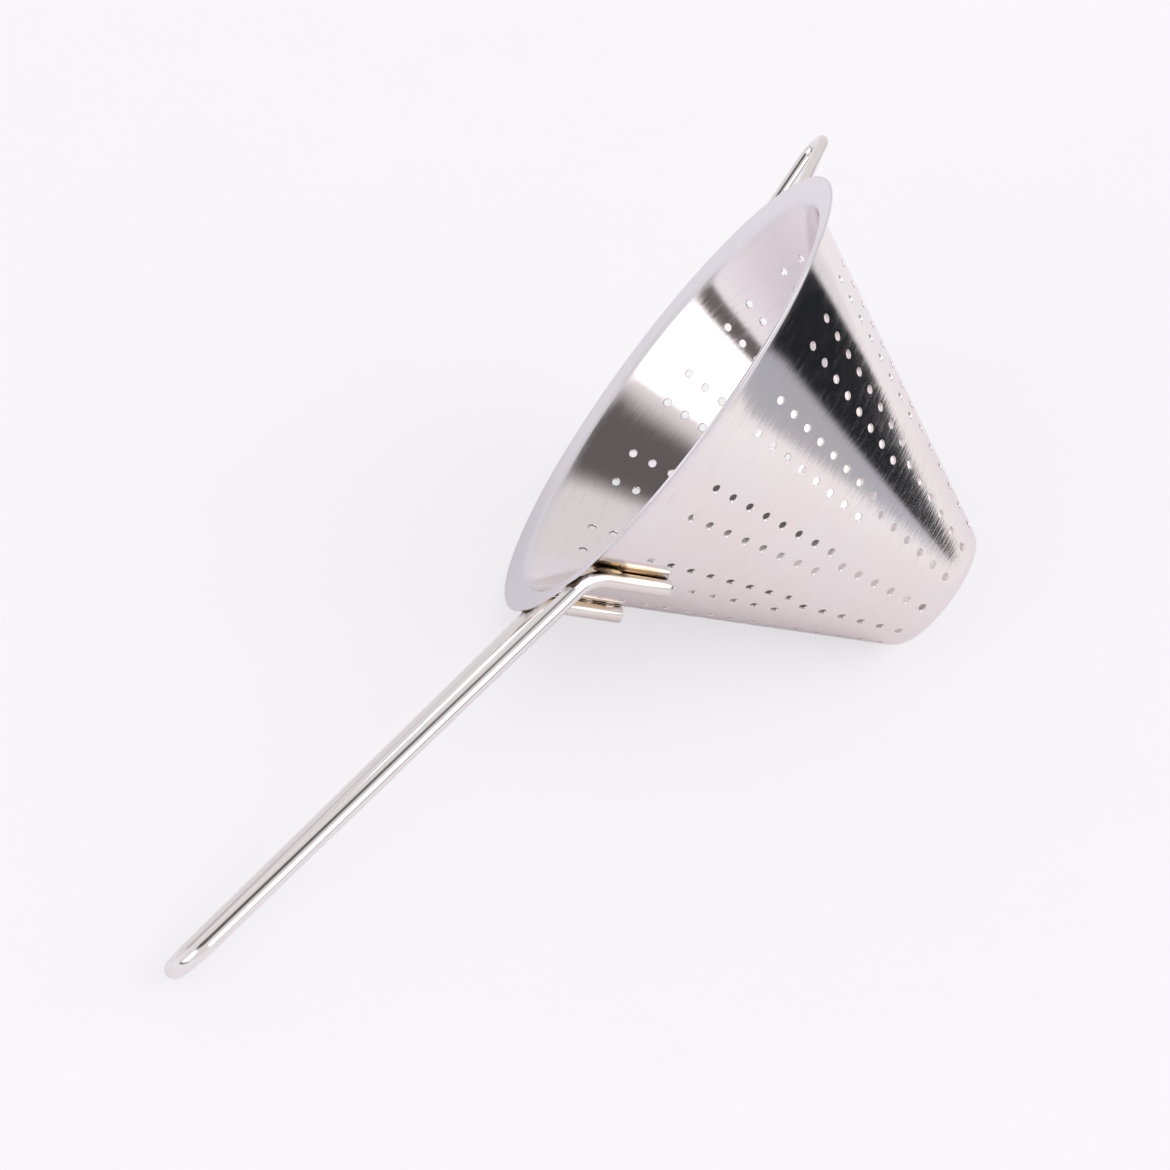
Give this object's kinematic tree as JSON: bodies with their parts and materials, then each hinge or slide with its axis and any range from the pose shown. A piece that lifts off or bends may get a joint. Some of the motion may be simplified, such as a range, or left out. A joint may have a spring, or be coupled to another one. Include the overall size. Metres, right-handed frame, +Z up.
{
  "type": "conical strainer",
  "caption": "Tapered perforated steel strainer cup with a flared lip, a long looped wire handle and a short wire rest hook opposite, lying on its side.",
  "frame": {"origin": "centre of the bounding box, on the floor that the strainer lies on", "axes": "+Z up from the floor; the handle lies towards -X; the mouth of the cup opens towards +Y and upwards"},
  "size_m": [0.2998, 0.1244, 0.1224],
  "materials": {
    "cup_steel": "stainless sheet, polished, with fine spun brushing round the cup",
    "wire_steel": "stainless wire, bright polished",
    "weld_steel": "stainless weld metal, heat tinted straw to brown"
  },
  "bodies": {
    "root": {"strainer_cup": "cup_steel", "handle_wire": "wire_steel", "hook_wire": "wire_steel", "handle_leg_weld_left": "weld_steel", "handle_leg_weld_right": "weld_steel", "handle_lip_weld_left": "weld_steel", "handle_lip_weld_right": "weld_steel", "hook_leg_weld_left": "weld_steel", "hook_leg_weld_right": "weld_steel"}
  },
  "joints": []
}
